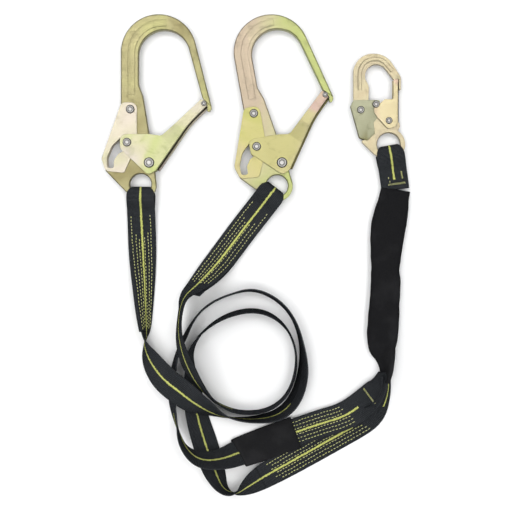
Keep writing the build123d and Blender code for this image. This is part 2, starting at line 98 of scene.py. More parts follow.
RIGHT_LEG = [
    (-0.074, -0.043, 0.031, 56), (-0.085, -0.052, 0.0386, 70), (-0.091, -0.064, 0.0446, 80),
    (-0.094, -0.091, 0.051, 78), (-0.091, -0.113, 0.052, 69), (-0.084, -0.134, 0.0525, 60),
    (-0.073, -0.156, 0.0485, 66), (-0.059, -0.177, 0.0284, 80), (-0.041, -0.192, 0.0175, 88),
    (-0.016, -0.199, 0.0175, 90), (0.013, -0.197, 0.0175, 90), (0.036, -0.182, 0.0175, 90),
    (0.049, -0.157, 0.0175, 90), (0.052, -0.128, 0.0175, 90), (0.044, -0.099, 0.0175, 90),
    (0.024, -0.078, 0.0175, 86), (-0.003, -0.07, 0.0175, 84), (-0.032, -0.075, 0.0175, 84),
    (-0.058, -0.09, 0.0175, 88), (-0.074, -0.107, 0.0175, 92), (-0.082, -0.125, 0.0175, 98),
    (-0.081, -0.15, 0.017, 110), (-0.079, -0.174, 0.0145, 128), (-0.073, -0.207, 0.0122, 140),
    (-0.062, -0.243, 0.0093, 152), (-0.051, -0.274, 0.0126, 138), (-0.042, -0.294, 0.0172, 106),
    (-0.027, -0.301, 0.0175, 82), (-0.011, -0.292, 0.0132, 45), (0.008, -0.281, 0.0081, 20),
]
LEFT_EYE = [
    (-0.1435, 0.056, 0.0115, 0), (-0.143, 0.04, 0.0086, -3), (-0.142, 0.004, 0.0082, -18),
    (-0.14, -0.039, 0.0146, -46), (-0.139, -0.073, 0.0166, -62), (-0.138, -0.098, 0.0173, -76),
]
RIGHT_EYE = [
    (0.0087, 0.0607, 0.0115, 0), (-0.011, 0.036, 0.008, 2), (-0.029, 0.012, 0.0056, 5),
    (-0.046, -0.011, 0.0084, 12), (-0.061, -0.029, 0.0198, 34), (-0.074, -0.043, 0.031, 56),
]
SNAP_EYE = [
    (0.1718, 0.1068, 0.0095, 0), (0.1738, 0.094, 0.0084, 0), (0.1756, 0.08, 0.008, 0),
]
UPPER_JUNCTION = [
    (-0.016, -0.248, 0.0105, -25), (0.013, -0.238, 0.0072, -10), (0.051, -0.224, 0.008, -5),
    (0.083, -0.213, 0.0084, -4), (0.11, -0.205, 0.0094, -5), (0.128, -0.193, 0.0136, -14),
    (0.143, -0.178, 0.0206, -34), (0.15, -0.168, 0.025, -50),
]
LOWER_JUNCTION = [
    (0.008, -0.281, 0.0086, 20), (0.033, -0.268, 0.0041, 8), (0.066, -0.25, 0.0023, 2),
    (0.1, -0.231, 0.0019, 1), (0.127, -0.216, 0.0026, 4), (0.144, -0.205, 0.0074, 18),
    (0.155, -0.191, 0.0152, 48), (0.161, -0.176, 0.0184, 60), (0.163, -0.162, 0.0204, 67),
    (0.1624, -0.15, 0.0214, 66),
]
# The upper strap's last few centimetres, inside the cover's lower mouth
UPPER_END = [(0.1555, -0.1580, 0.0240, -66), (0.1600, -0.1480, 0.0220, -78)]
# Shock pack cover: x, y, z, lean, outer width, outer thickness
COVER = [
    (0.1757, 0.0800, 0.0080, 0, 0.0372, 0.0100), (0.1738, 0.0671, 0.0084, 0, 0.0380, 0.0140),
    (0.1700, 0.0496, 0.0094, 0, 0.0425, 0.0175), (0.1660, 0.0308, 0.0102, 0, 0.0435, 0.0185),
    (0.1637, 0.0057, 0.0112, 3, 0.0390, 0.0190), (0.1621, -0.0207, 0.0128, 6, 0.0350, 0.0195),
    (0.1629, -0.0370, 0.0134, 8, 0.0372, 0.0195), (0.1613, -0.0606, 0.0144, 10, 0.0375, 0.0195),
    (0.1600, -0.0831, 0.0152, 14, 0.0390, 0.0185), (0.1585, -0.1017, 0.0166, 22, 0.0395, 0.0165),
    (0.1582, -0.1177, 0.0186, 42, 0.0384, 0.0130), (0.1616, -0.1289, 0.0201, 60, 0.0378, 0.0100),
    (0.1632, -0.1389, 0.0206, 72, 0.0390, 0.0080), (0.1626, -0.1501, 0.0210, 80, 0.0390, 0.0072),
    (0.1612, -0.1600, 0.0210, 84, 0.0380, 0.0070),
]
COVER_WALL = 1.0 * MM
CORE_FIRST = 4               # row of the cover at which the webbing inside it starts
CORE_END = COVER[11][:3]

# A rebar gate's outer edge in its hook's own millimetres: x, y, half thickness
GATE_EDGE = [
    (20.6, 18.8, 10.0), (27.0, 28.1, 10.0), (35.0, 39.7, 10.0), (43.0, 51.3, 9.7), (51.0, 62.9, 8.1),
    (56.0, 70.0, 7.0), (60.0, 75.1, 6.5), (64.5, 80.2, 6.5), (72.0, 87.8, 6.5), (79.0, 94.6, 6.5),
    (82.6, 98.0, 6.5),
]
SNAP_GATE_EDGE = [(10.9, y, 8.0) for y in (27.5, 40.0, 52.0, 64.0, 77.0)]
# A rivet head from rim to middle: share of its pin's radius, millimetres above the pin's end
RIVET_PROFILE = (
    (1.12, -0.7), (1.12, -0.2), (0.97, -0.1), (0.93, 0.32), (0.74, 0.38), (0.66, 0.1), (0.44, 0.07),
    (0.36, 0.3), (0.16, 0.24))
# Rows of faces painted darker as shade: the head's sides and outer flat, and the ring groove
RIVET_SHADE_ROWS = (0, 1, 2, 4, 5)
RIVET_SIDES = 36


# ------------------------------------------------------------------ camera and light

def camera():
    data = bpy.data.cameras.new("camera")
    data.sensor_fit = "HORIZONTAL"
    data.angle = 2 * math.atan(VIEW_WIDTH / 2 / (CAMERA_HEIGHT - STRAP_HEIGHT))
    holder = bpy.data.objects.new("camera", data)
    holder.location = (0.0006, -0.0031, CAMERA_HEIGHT)
    bpy.context.scene.collection.objects.link(holder)
    bpy.context.scene.camera = holder


def key_light():
    """A soft box above and behind the hooks."""
    data = bpy.data.lights.new("key", "AREA")
    data.shape = "RECTANGLE"
    data.size = 1.2
    data.size_y = 0.8
    data.energy = 6
    holder = bpy.data.objects.new("key", data)
    holder.location = (-0.9, 0.7, 1.6)
    holder.rotation_euler = (-holder.location).to_track_quat("-Z", "Y").to_euler()
    bpy.context.scene.collection.objects.link(holder)


def overhead(azimuth):
    """One of four soft lights in a ring near the zenith, so that tall straps cast little shade."""
    data = bpy.data.lights.new("overhead", "SUN")
    data.energy = 0.55
    data.angle = math.radians(16)
    holder = bpy.data.objects.new("overhead", data)
    holder.rotation_euler = (math.radians(18), 0, azimuth)
    bpy.context.scene.collection.objects.link(holder)


def dome():
    """A pale sky that darkens towards the horizon."""
    world = bpy.data.worlds.new("studio")
    world.use_nodes = True
    tree = world.node_tree
    split = tree.nodes.new("ShaderNodeSeparateXYZ")
    tree.links.new(tree.nodes.new("ShaderNodeTexCoord").outputs["Generated"], split.inputs[0])
    fade = tree.nodes.new("ShaderNodeValToRGB")
    horizon, zenith = fade.color_ramp.elements
    horizon.position = 0.08
    horizon.color = (0.16, 0.16, 0.16, 1)
    zenith.position = 0.62
    zenith.color = (0.98, 0.99, 1.0, 1)
    tree.links.new(split.outputs[2], fade.inputs[0])
    tree.links.new(fade.outputs[0], tree.nodes["Background"].inputs["Color"])
    tree.nodes["Background"].inputs["Strength"].default_value = 0.6
    bpy.context.scene.world = world


def studio():
    """A pale floor, a sky dome, a ring of overhead lights and a soft box."""
    key_light()
    for number in range(4):
        overhead(number * math.pi / 2 + 0.6)
    dome()
    bpy.context.scene.view_settings.view_transform = "Standard"
    bpy.ops.mesh.primitive_plane_add(size=FLOOR_SIZE)
    floor = bpy.context.active_object
    floor.name = "floor"
    floor.data.materials.append(plain_floor())


# -------------------------------------------------------------------------- materials

class Nodes:
    """Short calls for a material's node tree."""

    def __init__(self, name):
        self.material = bpy.data.materials.new(name)
        self.material.use_nodes = True
        self.tree = self.material.node_tree
        self.shader = self.tree.nodes["Principled BSDF"]

    def new(self, kind, inputs=None, **settings):
        node = self.tree.nodes.new("ShaderNode" + kind)
        for key, value in settings.items():
            setattr(node, key, value)
        for key, value in (inputs or {}).items():
            self.put(node.inputs[key], value)
        return node

    def put(self, socket, value):
        if isinstance(value, bpy.types.NodeSocket):
            self.tree.links.new(value, socket)
        else:
            socket.default_value = value

    def place(self):
        return self.new("TexCoord").outputs["Object"]

    def math(self, operation, *values):
        node = self.new("Math", operation=operation)
        for socket, value in zip(node.inputs, values):
            self.put(socket, value)
        return node.outputs[0]

    def add(self, first, second):
        return self.math("ADD", first, second)

    def times(self, first, second):
        return self.math("MULTIPLY", first, second)

    def wave(self, value, pitch):
        """A sine that repeats every pitch of the value."""
        return self.math("SINE", self.times(value, 2 * math.pi / pitch))

    def mix(self, share, first, second):
        node = self.new("Mix", data_type="RGBA")
        for index, value in ((0, share), (6, first), (7, second)):
            self.put(node.inputs[index], value)
        return node.outputs[2]

    def noise(self, vector, scale, detail=3.0, distortion=0.0, roughness=0.5):
        node = self.new("TexNoise", {
            "Vector": vector, "Scale": scale, "Detail": detail,
            "Distortion": distortion, "Roughness": roughness})
        return node.outputs[0]

    def ramp(self, value, stops):
        node = self.new("ValToRGB", {"Fac": value})
        bar = node.color_ramp.elements
        while len(bar) < len(stops):
            bar.new(1.0)
        for element, (place, colour) in zip(bar, stops):
            element.position = place
            element.color = (*colour, 1)
        return node.outputs[0]

    def span(self, value, low, high, to_low, to_high):
        node = self.new("MapRange", {
            "Value": value, "From Min": low, "From Max": high, "To Min": to_low, "To Max": to_high})
        return node.outputs[0]

    def bump(self, height, strength, distance, before=None):
        inputs = {"Height": height, "Strength": strength, "Distance": distance}
        if before:
            inputs["Normal"] = before
        return self.new("Bump", inputs).outputs[0]

    def shade(self, **inputs):
        for key, value in inputs.items():
            self.put(self.shader.inputs[key.replace("_", " ")], value)
        return self.material


def plain_floor():
    n = Nodes("floor")
    return n.shade(Base_Color=(0.93, 0.93, 0.93, 1), Roughness=0.9)


def plating(name, colours, mottle=16.0, trend=(0.0, 0.0, 0.0)):
    """Yellow zinc plate: colour drifting between the given tints, brushed streaks, stains and fine pits.

    Trend is the drift per metre along x and along y, and the drift at the origin.
    """
    n = Nodes(name)
    place = n.place()
    drift = n.noise(place, mottle, 2.0, 0.8)
    parts = n.new("SeparateXYZ", {"Vector": place})
    for socket, slope in zip(parts.outputs, trend[:2]):
        drift = n.add(drift, n.times(socket, slope))
    drift = n.add(drift, trend[2])
    count = len(colours) - 1
    tint = n.ramp(drift, [(0.34 + 0.32 * i / count, c) for i, c in enumerate(colours)])
    stain = n.noise(place, 60.0, 6.0, 1.4, 0.62)
    tint = n.mix(n.span(stain, 0.55, 0.78, 0.0, 0.45), tint, (*[c * 0.62 for c in colours[0]], 1))
    brushed = n.new("Mapping", {"Vector": place, "Scale": (1.0, 14.0, 14.0), "Rotation": (0, 0, 0.9)})
    streak = n.noise(brushed.outputs[0], 120.0, 4.0)
    pits = n.noise(place, 900.0, 3.0)
    dents = n.noise(place, 150.0, 3.0)
    edge = n.new("Bevel", {"Radius": 0.6 * MM}, samples=4).outputs[0]
    normal = n.bump(dents, 0.25, 0.6 * MM, edge)
    normal = n.bump(pits, 0.12, 0.2 * MM, normal)
    gloss = n.add(n.span(streak, 0.3, 0.7, 0.30, 0.48), n.span(stain, 0.5, 0.8, 0.0, 0.15))
    return n.shade(Base_Color=tint, Metallic=0.88, Roughness=gloss, Normal=normal)


def bright_steel(name, colour, rough):
    """Zinc-plated rivet heads and wire, with light turning marks."""
    n = Nodes(name)
    turned = n.noise(n.place(), 700.0, 4.0, 2.0)
    tint = n.ramp(turned, [(0.3, tuple(c * 0.82 for c in colour)), (0.7, colour)])
    gloss = n.span(turned, 0.3, 0.7, rough, rough + 0.16)
    return n.shade(Base_Color=tint, Metallic=1.0, Roughness=gloss, Normal=n.bump(turned, 0.15, 0.2 * MM))


def webbing(name):
    """Black ribbed webbing with a lime stripe of twisted yarn along the middle; pitches in millimetres."""
    n = Nodes(name)
    parts = n.new("SeparateXYZ", {"Vector": n.new("UVMap", uv_map="strap").outputs[0]})
    across, along = (n.times(socket, 1 / MM) for socket in parts.outputs[:2])
    place = n.place()
    weave = n.times(n.add(n.wave(along, 1.5), 1.0), n.add(n.wave(across, 1.25), 1.0))
    fuzz = n.noise(place, 1400.0, 4.0)
    fade = n.noise(place, 30.0, 3.0)
    level = n.add(n.span(weave, 0.0, 4.0, 0.0, 0.6), n.times(fuzz, 0.4))
    black = n.ramp(level, [
        (0.15, (0.006, 0.007, 0.008)), (0.5, (0.024, 0.026, 0.029)), (0.78, (0.115, 0.122, 0.130))])
    black = n.mix(n.span(fade, 0.45, 0.75, 0.0, 0.5), black, (0.034, 0.036, 0.040, 1))
    twist = n.wave(n.add(along, n.times(across, 0.9)), 1.9)
    yarn = n.add(n.times(twist, 0.35), n.noise(place, 900.0, 3.0))
    lime = n.ramp(yarn, [(0.18, (0.16, 0.17, 0.03)), (0.42, (0.47, 0.50, 0.10)), (0.8, (0.72, 0.74, 0.27))])
    fray = n.math("SUBTRACT", n.noise(place, 620.0, 2.0), 0.5)
    ragged = n.add(n.math("ABSOLUTE", across), n.times(fray, 2.6))
    ragged = n.add(ragged, n.times(twist, 0.2))
    stripe = n.span(ragged, STRIPE_HALF / MM - 0.15, STRIPE_HALF / MM + 0.15, 1.0, 0.0)
    height = n.add(n.times(weave, 0.25), n.times(fuzz, 0.5))
    height = n.add(height, n.times(n.times(twist, stripe), 0.4))
    return n.shade(
        Base_Color=n.mix(stripe, black, lime), Roughness=n.span(fuzz, 0.3, 0.7, 0.62, 0.85),
        Normal=n.bump(height, 0.55, 0.35 * MM), Specular_IOR_Level=0.0)


def thread(name):
    """Lime sewing thread with a twisted ply."""
    n = Nodes(name)
    place = n.place()
    ply = n.noise(place, 1800.0, 3.0)
    worn = n.noise(place, 90.0, 2.0)
    tint = n.ramp(ply, [(0.3, (0.42, 0.44, 0.10)), (0.62, (0.74, 0.75, 0.32))])
    tint = n.mix(n.span(worn, 0.4, 0.7, 0.0, 0.6), tint, (0.60, 0.60, 0.36, 1))
    return n.shade(Base_Color=tint, Roughness=0.7, Normal=n.bump(ply, 0.5, 0.3 * MM), Specular_IOR_Level=0.2)


def matte_cloth(name, dark, light, period, rough=0.9):
    """Close-woven cloth: fine cross weave, lint and slow shading."""
    n = Nodes(name)
    place = n.place()
    yarns = {"Vector": place, "Scale": 1.0 / period, "Distortion": 0.6, "Detail": 2.0}
    warp = n.new("TexWave", yarns).outputs[0]
    weft = n.new("TexWave", yarns, bands_direction="Y").outputs[0]
    lint = n.noise(place, 1100.0, 4.0)
    slow = n.noise(place, 26.0, 3.0)
    level = n.add(n.times(n.times(warp, weft), 0.5), n.times(lint, 0.5))
    tint = n.mix(n.span(level, 0.2, 0.8, 0.0, 1.0), (*dark, 1), (*light, 1))
    tint = n.mix(n.span(slow, 0.45, 0.75, 0.0, 0.4), tint, (*[c * 1.7 for c in light], 1))
    normal = n.bump(level, 0.4, 0.3 * MM)
    return n.shade(Base_Color=tint, Roughness=rough, Normal=normal, Specular_IOR_Level=0.0)


# --------------------------------------------------------------------- strap stations

def unit(rows):
    return rows / np.linalg.norm(rows, axis=1)[:, None]


def ease(distance, span):
    """A smooth rise from 0 to 1 over a span."""
    return 0.5 - 0.5 * np.cos(np.pi * np.clip(distance / span, 0, 1))


def nearest(points, place):
    return int(np.argmin(np.linalg.norm(points - np.array(place), axis=1)))


class Strand:
    """Centre points along a strap with the directions of its width and its upper face.

    Share is how much of its full width the strap has at each point.
    """

    def __init__(self, centre, across, normal, share=None):
        self.centre, self.across, self.normal = centre, across, normal
        self.share = np.ones(len(centre)) if share is None else share
        steps = np.linalg.norm(np.diff(centre, axis=0), axis=1)
        self.along = np.concatenate([[0.0], np.cumsum(steps)])

    def part(self, first, last):
        cut = slice(first, last + 1)
        piece = Strand(self.centre[cut], self.across[cut], self.normal[cut], self.share[cut])
        piece.along = self.along[cut]
        return piece

    def restarted(self):
        """The same run, with distance along it counted from its own start."""
        self.along = self.along - self.along[0]
        return self

    def raised(self, height):
        """The same run, moved along its upper face's normal by a height, which may vary."""
        centre = self.centre + self.normal * np.reshape(height, (-1, 1))
        moved = Strand(centre, self.across, self.normal, self.share)
        moved.along = self.along
        return moved

    def turned_back(self):
        """The same run walked the other way, with its lower face outward."""
        back = Strand(self.centre[::-1], self.across[::-1], -self.normal[::-1], self.share[::-1])
        back.along = self.along[::-1]
        return back

    def longer(self, tail):
        """The same run with a straight tail, in two steps, past its end."""
        run = unit(self.centre[-1:] - self.centre[-2:-1])[0]
        rows = np.array([self.at(self.along[-1]) + run * tail * k for k in (0.5, 1)])
        last = [np.repeat(part[-1:], 2, axis=0) for part in (self.across, self.normal, self.share)]
        return joined(self, Strand(rows, *last))

    def at(self, along, across=0.0, height=0.0):
        """A point on the strap, by distance along it, across it and above its middle."""
        order = np.argsort(self.along)
        stops = self.along[order]
        share = np.interp(along, stops, self.share[order])
        centre, side, normal = (
            np.array([np.interp(along, stops, rows[order, k]) for k in range(3)])
            for rows in (self.centre, self.across, self.normal))
        return centre + side * across * share + normal * height

    def mark(self, place):
        """Distance along the strap of the spot nearest to a place, given in plan or in space."""
        return float(self.along[nearest(self.centre[:, :len(place)], place)])


def joined(*strands):
    """Several runs as one, with distance along it counted through."""
    return Strand(*[
        np.concatenate([getattr(strand, part) for strand in strands])
        for part in ("centre", "across", "normal", "share")])


def spline_points(route):
    """Points read from the NURBS curve on the route's control points, and the lean at each."""
    curve = bpy.data.curves.new("route", "CURVE")
    curve.dimensions = "3D"
    curve.resolution_u = 8
    spline = curve.splines.new("NURBS")
    spline.points.add(len(route) - 1)
    for point, stop in zip(spline.points, route):
        point.co = (*stop[:3], 1)
    spline.order_u = 3
    spline.use_endpoint_u = True
    holder = bpy.data.objects.new("route", curve)
    bpy.context.scene.collection.objects.link(holder)
    line = bpy.data.meshes.new_from_object(holder)
    points = np.array([tuple(v.co) for v in line.vertices])
    bpy.data.objects.remove(holder)
    spans = len(route) - 2
    own = np.clip(np.arange(len(route)) - 0.5, 0, spans)
    lean = np.interp(np.linspace(0, spans, len(points)), own, [stop[3] for stop in route])
    return points, np.radians(lean)


def lay(route):
    """A whole strap laid along a route: left of the run is across at lean 0."""
    points, lean = spline_points(route)
    window = np.hanning(15)[1:-1]
    lean = np.convolve(np.pad(lean, len(window) // 2, mode="edge"), window / window.sum(), mode="valid")
    run = unit(np.gradient(points, axis=0))
    level = unit(np.cross((0, 0, 1), run))
    upright = np.cross(run, level)
    across = level * np.cos(lean)[:, None] + upright * np.sin(lean)[:, None]
    return Strand(points, across, np.cross(run, across))


# ----------------------------------------------------------------------------- meshes

def mesh_piece(name, verts, faces, material, maps=None, smooth=True):
    """A piece from points and faces; maps holds a place on the strap for each corner of each face."""
    mesh = bpy.data.meshes.new(name)
    mesh.from_pydata(verts, [], faces)
    if maps:
        layer = mesh.uv_layers.new(name="strap")
        for corner, spot in zip(layer.data, maps):
            corner.uv = spot
    shape = bmesh.new()
    shape.from_mesh(mesh)
    bmesh.ops.recalc_face_normals(shape, faces=shape.faces)
    shape.to_mesh(mesh)
    shape.free()
    for face in mesh.polygons:
        face.use_smooth = smooth
    mesh.materials.append(material)
    piece = bpy.data.objects.new(name, mesh)
    bpy.context.scene.collection.objects.link(piece)
    return piece


def above_floor(point):
    return (point[0], point[1], max(point[2], FLOOR_CLEAR))


def ring_faces(rows, count, base=0):
    """The four-sided faces between rows of points in rings, counted from a base."""
    faces = []
    for row in range(rows - 1):
        for k in range(count):
            a, b = base + row * count + k, base + row * count + (k + 1) % count
            faces.append((a, b, b + count, a + count))
    return faces


def end_faces(rows, count, base=0):
    """The faces that close the first and last of several rings."""
    return [tuple(range(base + row * count, base + (row + 1) * count)) for row in (0, rows - 1)]


def strap_section():
    """Half of a strap's section from edge to edge: (across, height) with rolled edges and a raised stripe."""
    half = WEB_WIDTH / 2
    rows = [half * k for k in (0.985, 0.95, 0.88, 0.72, 0.5, 0.28)]
    rows += [STRIPE_HALF * k for k in (1.25, 0.8, 0.4)]
    out = []
    for a in [-row for row in rows] + [0.0] + rows[::-1]:
        edge = max(0.0, 1 - abs(a / half) ** 16)
        rise = STRIPE_RISE * max(0.0, 1 - (abs(a) / (STRIPE_HALF * 1.25)) ** 2)
        out.append((a, PLY / 2 * math.sqrt(edge) + rise))
    return out


def ripple(along, phase):
    """Slow cupping of a strap: how far its edges lift, in metres."""
    return 0.55 * MM * (math.sin(along * 41 + phase) + 0.6 * math.sin(along * 97 + 2.1 * phase))


def ribbon(name, run, shifts, cup=0.0, phase=0.0):
    """A closed ribbon of webbing along a run, mapped in metres so that its weave has the right scale.

    Shifts are (first, last, distance): between those places the stripe is moved across, or off the strap.
    Cup is the share of the slow cupping, for the whole run or for each of its points.
    """
    upper = strap_section()
    ring = [(-WEB_WIDTH / 2, 0.0)] + upper + [(WEB_WIDTH / 2, 0.0)] + [(a, -h) for a, h in reversed(upper)]
    count, rows = len(ring), len(run.centre)
    cups = np.broadcast_to(cup, rows)
    verts = []
    for index in range(rows):
        lift = cups[index] * ripple(run.along[index], phase)
        for a, h in ring:
            bow = lift * ((2 * a / WEB_WIDTH) ** 2 - 0.35)
            verts.append(above_floor(
                run.centre[index] + run.across[index] * a * run.share[index] + run.normal[index] * (h + bow)))
    faces = ring_faces(rows, count)
    maps = []
    for number, face in enumerate(faces):
        row = number // count
        middle = (run.along[row] + run.along[row + 1]) / 2
        moved = sum(shift for first, last, shift in shifts if first < middle < last)
        maps += [(ring[corner % count][0] + moved, run.along[corner // count]) for corner in face]
    for end in (0, -1):
        maps += [(across, run.along[end]) for across, _ in ring]
    return mesh_piece(name, verts, faces + end_faces(rows, count), WEBBING, maps)


def tube_section(width, thickness, count):
    """Points round a flat, full-sided tube, with the outward direction at each."""
    rows = []
    for k in range(count):
        turn = 2 * math.pi * k / count
        c, s = math.cos(turn), math.sin(turn)
        x = width / 2 * math.copysign(abs(c) ** 0.55, c)
        z = thickness / 2 * math.copysign(abs(s) ** 0.62, s)
        rows.append((x, z, c, s))
    return rows


def loft_tube(name, run, sizes, wall, count, wrinkle, material):
    """A cloth tube along a run, with an outer and an inner face joined at its two mouths."""
    rows = len(run.centre)
    verts = []
    for inward in (0.0, wall):
        for index in range(rows):
            width, thickness = sizes[index]
            for x, z, c, s in tube_section(width - 2 * inward, thickness - 2 * inward, count):
                lift = wrinkle(run.along[index], x, s)
                sideways, upward = x + c * lift * 0.4, z + s * lift
                verts.append(above_floor(
                    run.centre[index] + run.across[index] * sideways + run.normal[index] * upward))
    faces = ring_faces(rows, count) + ring_faces(rows, count, rows * count)
    for row in (0, rows - 1):
        for k in range(count):
            a, b = row * count + k, row * count + (k + 1) % count
            faces.append((a, b, b + rows * count, a + rows * count))
    return mesh_piece(name, verts, faces, material)


def solid_tape(name, run, sizes, inset, count, lift, material):
    """A closed, flat stack of webbing inside the cover; lift is its height as a share of the cover's."""
    rows = len(run.centre)
    verts = []
    for index in range(rows):
        width, thickness = sizes[index]
        for x, z, _, _ in tube_section(width - inset[0], max(thickness - inset[1], 1.2 * MM), count):
            verts.append(
                run.centre[index] + run.across[index] * x + run.normal[index] * (z + lift * thickness))
    return mesh_piece(name, verts, ring_faces(rows, count) + end_faces(rows, count), material)


# ---------------------------------------------------------------------------- thread

class Threads:
    """Collects short lengths of sewing thread into one piece."""

    SIDES = 6

    def __init__(self):
        self.verts, self.faces = [], []

    def length(self, points, radii):
        """A round thread through the points, closed at both ends."""
        points = [Vector(p) for p in points]
        base = len(self.verts)
        for index, point in enumerate(points):
            run = (points[min(index + 1, len(points) - 1)] - points[max(index - 1, 0)]).normalized()
            side = run.cross(Vector((0, 0, 1)))
            if side.length < 0.1:
                side = run.cross(Vector((1, 0, 0)))
            side.normalize()
            other = run.cross(side)
            for k in range(self.SIDES):
                turn = 2 * math.pi * k / self.SIDES
                self.verts.append(point + (side * math.cos(turn) + other * math.sin(turn)) * radii[index])
        self.faces += ring_faces(len(points), self.SIDES, base) + end_faces(len(points), self.SIDES, base)

    def row(self, run, across, first, last, height, rng):
        """A row of stitches along a strap on both of its faces."""
        place = first
        while place < last:
            shift = across + rng.uniform(-STITCH_WANDER, STITCH_WANDER)
            long = STITCH_LENGTH * rng.uniform(0.85, 1.15)
            for face in (height, -height):
                stops = ((0.0, 0.86), (0.2, 1.0), (0.8, 1.0), (1.0, 0.86))
                spots = [run.at(place + long * k, shift, face * rise) for k, rise in stops]
                self.length(spots, [THREAD_R * k for k in (0.45, 1.0, 1.0, 0.45)])
            place += STITCH_PITCH * rng.uniform(0.94, 1.06)

    def tack(self, run, start, end, height, turns, half):
        """A bar tack: one thread in a close zigzag between two places (along, across)."""
        ends = [run.at(*place, height) for place in (start, end)]
        line = ends[1] - ends[0]
        middle = (start[0] + end[0]) / 2
        normal = run.at(middle, 0, 1.0) - run.at(middle, 0, 0.0)
        side = np.cross(normal, line / np.linalg.norm(line))
        spots = [ends[0] + line * k / turns + side * half * (1 if k % 2 else -1) for k in range(turns + 1)]
        self.length(spots, [THREAD_R] * len(spots))

    def piece(self, name):
        return mesh_piece(name, [above_floor(v) for v in self.verts], self.faces, THREAD)


def sew(name, run, height, rows, tacks=()):
    """One strap's stitching: rows of (millimetres across, first, last) and tacks as Threads.tack has them."""
    threads = Threads()
    for across, start, stop in rows:
        threads.row(run, across * MM, start, stop, height, rng)
    for begin, end, turns, half in tacks:
        threads.tack(run, begin, end, height, turns, half)
    piece = threads.piece(name)
    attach(piece, "lanyard")


# ---------------------------------------------------------------------------- straps

def ring_place(side, along, height=0.0):
    """A point on the strap's line through a hook's eye, by distance past the eye's middle."""
    x, y, z = EYE[side]
    turn = math.radians(STRAP_TURN[side])
    return (x - along * math.sin(turn), y + along * math.cos(turn), z + height)


def bight(side, half, top):
    """The turn through the eye, from the lower ply round the ring's bar to the upper ply.

    Half is half the hook's thickness, and top is how far past the eye's middle the turn goes.
    """
    rise = half + BIGHT_CLEAR
    over = [
        (BIGHT_TIP, SEWN_RISE), (-24 * MM, 0.62 * rise), (-19 * MM, rise), (-12 * MM, rise),
        (top - 3.5 * MM, 0.8 * rise), (top - 1 * MM, 0.25 * rise),
    ]
    stops = [(y, -z) for y, z in over] + over[::-1]
    points, _ = spline_points([(*ring_place(side, y, z), 0) for y, z in stops])
    turn = math.radians(STRAP_TURN[side])
    width = np.array((math.cos(turn), math.sin(turn), 0.0))
    run = unit(np.gradient(points, axis=0))
    across = np.repeat(width[None], len(points), axis=0)
    past = (points - np.array(EYE[side])) @ np.array((-math.sin(turn), math.cos(turn), 0.0))
    share = np.interp(past, [-13 * MM, -9 * MM, top - 3.5 * MM, top - 1 * MM], [1.0, 0.95, 0.84, 0.7])
    return Strand(points, across, unit(np.cross(run, across)), share)


def eye_strap(side, run, half, top, tail=0.0, plain_end=0.0):
    """The doubled strap at a hook: lower ply, turn through the eye and upper ply, as one ribbon."""
    upper = run.raised(SEWN_RISE)
    lower = run.raised(-SEWN_RISE)
    if tail:
        lower = lower.longer(tail)
    whole = joined(lower.turned_back().part(0, len(lower.centre) - 2), bight(side, half, top),
                   upper.part(1, len(upper.centre) - 1))
    end = whole.along[-1]
    name = side + "_eye_strap"
    piece = ribbon(name + "_ribbon", whole, [(end - plain_end, end + 1, OFF_STRAP)])
    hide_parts(name)
    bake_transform(piece)


def leg(name, whole, route, hidden, phase):
    """One leg of webbing, from its sewn eye to its sewn junction, its stripe hidden between two places."""
    run = whole.part(nearest(whole.centre, route[0][:3]), nearest(whole.centre, route[-1][:3]))
    distance = run.along - run.along[0]
    left_over = run.along[-1] - run.along
    raised = run.raised(SEWN_RISE * (1 - ease(distance, 30 * MM)))
    shifts = [(whole.mark(hidden[0]), whole.mark(hidden[1]), OFF_STRAP)]
    cup = ease(distance, 40 * MM) * ease(left_over, 40 * MM)
    piece = ribbon(name + "_ribbon", raised, shifts, cup, phase)
    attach(piece, "lanyard")
    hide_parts(name)
    length = float(np.linalg.norm(np.diff(raised.centre, axis=0), axis=1).sum())
    return length


def junction_strap(name, run, shifts):
    strap = ribbon(name + "_ribbon", run, shifts)
    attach(strap, "lanyard")
    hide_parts(name)


# ------------------------------------------------------------------- sleeve and pack

def sleeve_wrinkle(along, across, _):
    return 0.22 * MM * math.sin(along * 160 + across * 90) + 0.12 * MM * math.sin(along * 420)


def label_sleeve(run):
    """A plain woven tube round the upper strap."""
    sizes = np.tile((40.5 * MM, 5.6 * MM), (len(run.centre), 1))
    sleeve = loft_tube("label_sleeve_tube", run, sizes, 0.8 * MM, 64, sleeve_wrinkle, SLEEVE_CLOTH)
    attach(sleeve, "lanyard")
    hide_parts("label_sleeve")


def cover_wrinkle(along, across, side):
    """Soft folds of the cover: how far its cloth stands out, in metres."""
    slant = along + across * 0.7
    fold = 0.45 * MM * math.sin(slant * 210) * math.sin(along * 63 + 1.2)
    fold += 0.28 * MM * math.sin(along * 330 - across * 260 + side)
    fold += 0.5 * MM * math.sin(along * 38 + across * 120 + 2)
    crease = abs(across - (-0.010 + (along - 0.004) * 0.35))
    if side > 0 and along < 0.036:
        fold -= 1.5 * MM * max(0.0, 1 - crease / (2.2 * MM)) * min(1.0, along / 0.004)
    return fold


